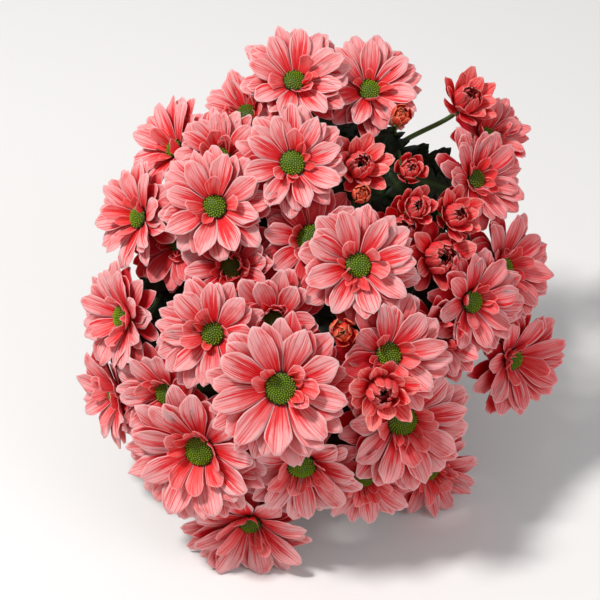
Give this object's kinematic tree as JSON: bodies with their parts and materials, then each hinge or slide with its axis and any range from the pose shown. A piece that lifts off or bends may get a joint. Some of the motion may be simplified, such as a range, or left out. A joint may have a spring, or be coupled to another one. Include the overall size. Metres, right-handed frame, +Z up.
{
  "type": "chrysanthemum spray",
  "caption": "Cut spray of pink daisy-type chrysanthemums: a dome of open blooms, half-open blooms and buds on one branching stem with cut-edged leaves, laid down.",
  "frame": {"origin": "on the flat underside of the lying end of the main stem, on the surface", "axes": "+Z up from the surface, -Y along the stem towards the head of blooms, +X to the right as seen from the front of the head"},
  "size_m": [0.2869, 0.3693, 0.2486],
  "materials": {
    "petals": "soft matte petal, salmon pink with pale edges, fine lengthwise streaks and a red base",
    "young_petals": "soft matte petal, coral red with pale streaks",
    "bud_petals": "soft matte petal, deep coral red, closed",
    "green": "fresh green stem, leaf and floret disc, satin"
  },
  "bodies": {
    "root": {"stem": "green", "bloom_01": "petals", "bloom_02": "petals", "bloom_03": "petals", "bloom_04": "petals", "bloom_05": "petals", "bloom_06": "petals", "bloom_07": "petals", "bloom_08": "petals", "bloom_09": "petals", "bloom_10": "petals", "bloom_11": "petals", "bloom_12": "petals", "bloom_13": "petals", "bloom_14": "petals", "bloom_15": "petals", "bloom_16": "petals", "bloom_17": "petals", "bloom_18": "petals", "bloom_19": "petals", "bloom_20": "petals", "bloom_21": "petals", "bloom_22": "petals", "bloom_23": "petals", "bloom_24": "petals", "bloom_25": "petals", "bloom_26": "petals", "bloom_27": "petals", "bloom_28": "petals", "bloom_29": "petals", "bloom_30": "petals", "bloom_31": "petals", "half_open_01": "young_petals", "half_open_02": "young_petals", "half_open_03": "young_petals", "half_open_04": "young_petals", "half_open_05": "young_petals", "half_open_06": "young_petals", "half_open_07": "young_petals", "half_open_08": "young_petals", "bud_01": "bud_petals", "bud_02": "bud_petals", "bud_03": "bud_petals"}
  },
  "joints": []
}
